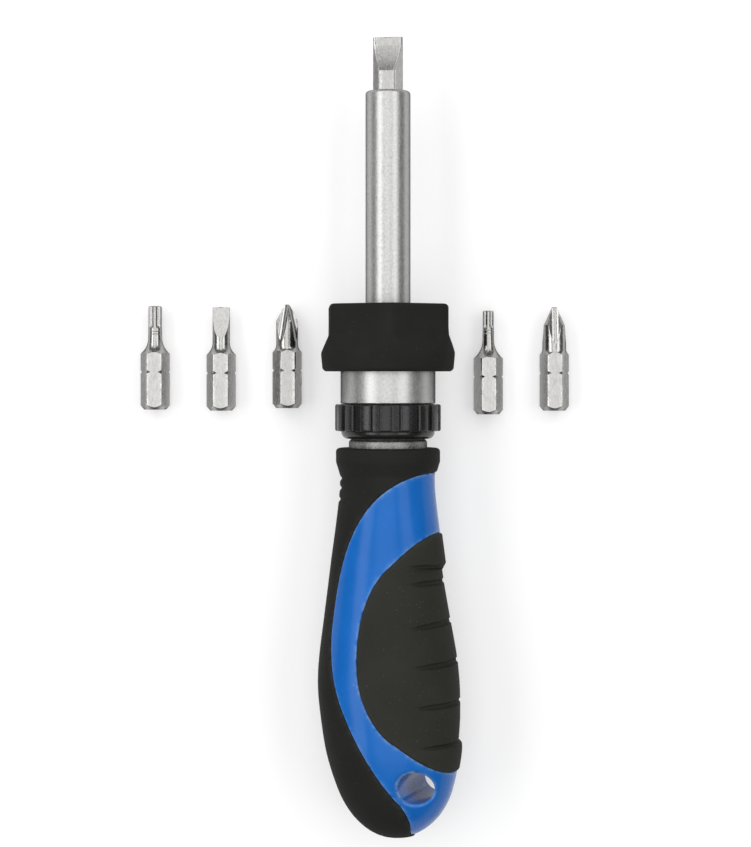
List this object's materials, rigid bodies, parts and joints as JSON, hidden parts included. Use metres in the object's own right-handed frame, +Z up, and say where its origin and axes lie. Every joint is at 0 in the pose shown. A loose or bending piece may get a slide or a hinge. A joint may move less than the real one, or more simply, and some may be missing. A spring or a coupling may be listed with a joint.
{
  "type": "ratcheting screwdriver",
  "caption": "Ratcheting screwdriver with a two-tone soft-grip handle, a direction ring, a rubber finger collar and a hex socket, lying beside its spare hex bits.",
  "frame": {"origin": "on the table, under the middle of the whole set's bounding box", "axes": "+Y along the tool axis from the butt to the bit's tip, +Z up from the table, +X to the palm side"},
  "size_m": [0.1052, 0.192, 0.0322],
  "materials": {
    "blue_plastic": "moulded, glossy",
    "soft_rubber": "soft touch, matte",
    "grey_metal": "turned, dull",
    "black_plastic": "glossy",
    "satin_chrome": "satin plated",
    "bit_steel": "bright plated",
    "bronze": "sintered",
    "inner_steel": "oiled",
    "hub_plastic": "moulded"
  },
  "bodies": {
    "handle": {"handle_core": "blue_plastic", "spine_grip": "soft_rubber", "palm_grip": "soft_rubber", "ratchet_body": "grey_metal", "barrel": "satin_chrome", "front_bush": "bronze", "thrust_washer": "inner_steel", "pawl_pin": "inner_steel"},
    "selector": {"direction_ring": "black_plastic", "plunger_spring": "inner_steel"},
    "plunger": {"plunger": "inner_steel"},
    "pawl": {"pawl": "inner_steel"},
    "driver": {"shaft": "satin_chrome", "ratchet_gear": "inner_steel", "circlip": "inner_steel", "bit_magnet": "inner_steel", "collar_hub": "hub_plastic", "finger_collar": "soft_rubber"},
    "fitted_bit": {"slotted_bit": "bit_steel"},
    "spare_star_large": {"star_bit_large": "bit_steel"},
    "spare_slotted_small": {"slotted_bit_small": "bit_steel"},
    "spare_cross_small": {"cross_bit_small": "bit_steel"},
    "spare_star_small": {"star_bit_small": "bit_steel"},
    "spare_cross_large": {"cross_bit_large": "bit_steel"}
  },
  "joints": [
    {"name": "shaft_spin", "type": "hinge", "parent": "handle", "child": "driver", "pos_m": [0.0081, 0, 0.0161], "axis": [0, 1, 0], "continuous": true},
    {"name": "selector_turn", "type": "hinge", "parent": "handle", "child": "selector", "pos_m": [0.0081, 0, 0.0161], "axis": [0, 1, 0], "range_deg": [0, 36]},
    {"name": "pawl_rock", "type": "hinge", "parent": "handle", "child": "pawl", "pos_m": [0.0081, 0, 0.0232], "axis": [0, 1, 0], "range_deg": [0, 18]},
    {"name": "plunger_slide", "type": "slide", "parent": "selector", "child": "plunger", "axis": [-0.309, 0, 0.9511], "range_m": [0, 0.0003], "stiffness_N_per_m": 500, "springref_m": -0.0005, "deforming": ["plunger_spring"]},
    {"name": "bit_pull", "type": "slide", "parent": "driver", "child": "fitted_bit", "axis": [0, 1, 0], "range_m": [0, 0.03]},
    {"name": "lift_star_large", "type": "slide", "parent": "handle", "child": "spare_star_large", "axis": [0, 0, 1], "range_m": [0, 0.04]},
    {"name": "lift_slotted_small", "type": "slide", "parent": "handle", "child": "spare_slotted_small", "axis": [0, 0, 1], "range_m": [0, 0.04]},
    {"name": "lift_cross_small", "type": "slide", "parent": "handle", "child": "spare_cross_small", "axis": [0, 0, 1], "range_m": [0, 0.04]},
    {"name": "lift_star_small", "type": "slide", "parent": "handle", "child": "spare_star_small", "axis": [0, 0, 1], "range_m": [0, 0.04]},
    {"name": "lift_cross_large", "type": "slide", "parent": "handle", "child": "spare_cross_large", "axis": [0, 0, 1], "range_m": [0, 0.04]}
  ],
  "couplings": [
    {"joint": "pawl_rock", "follows": "selector_turn", "ratio": 0.5}
  ]
}
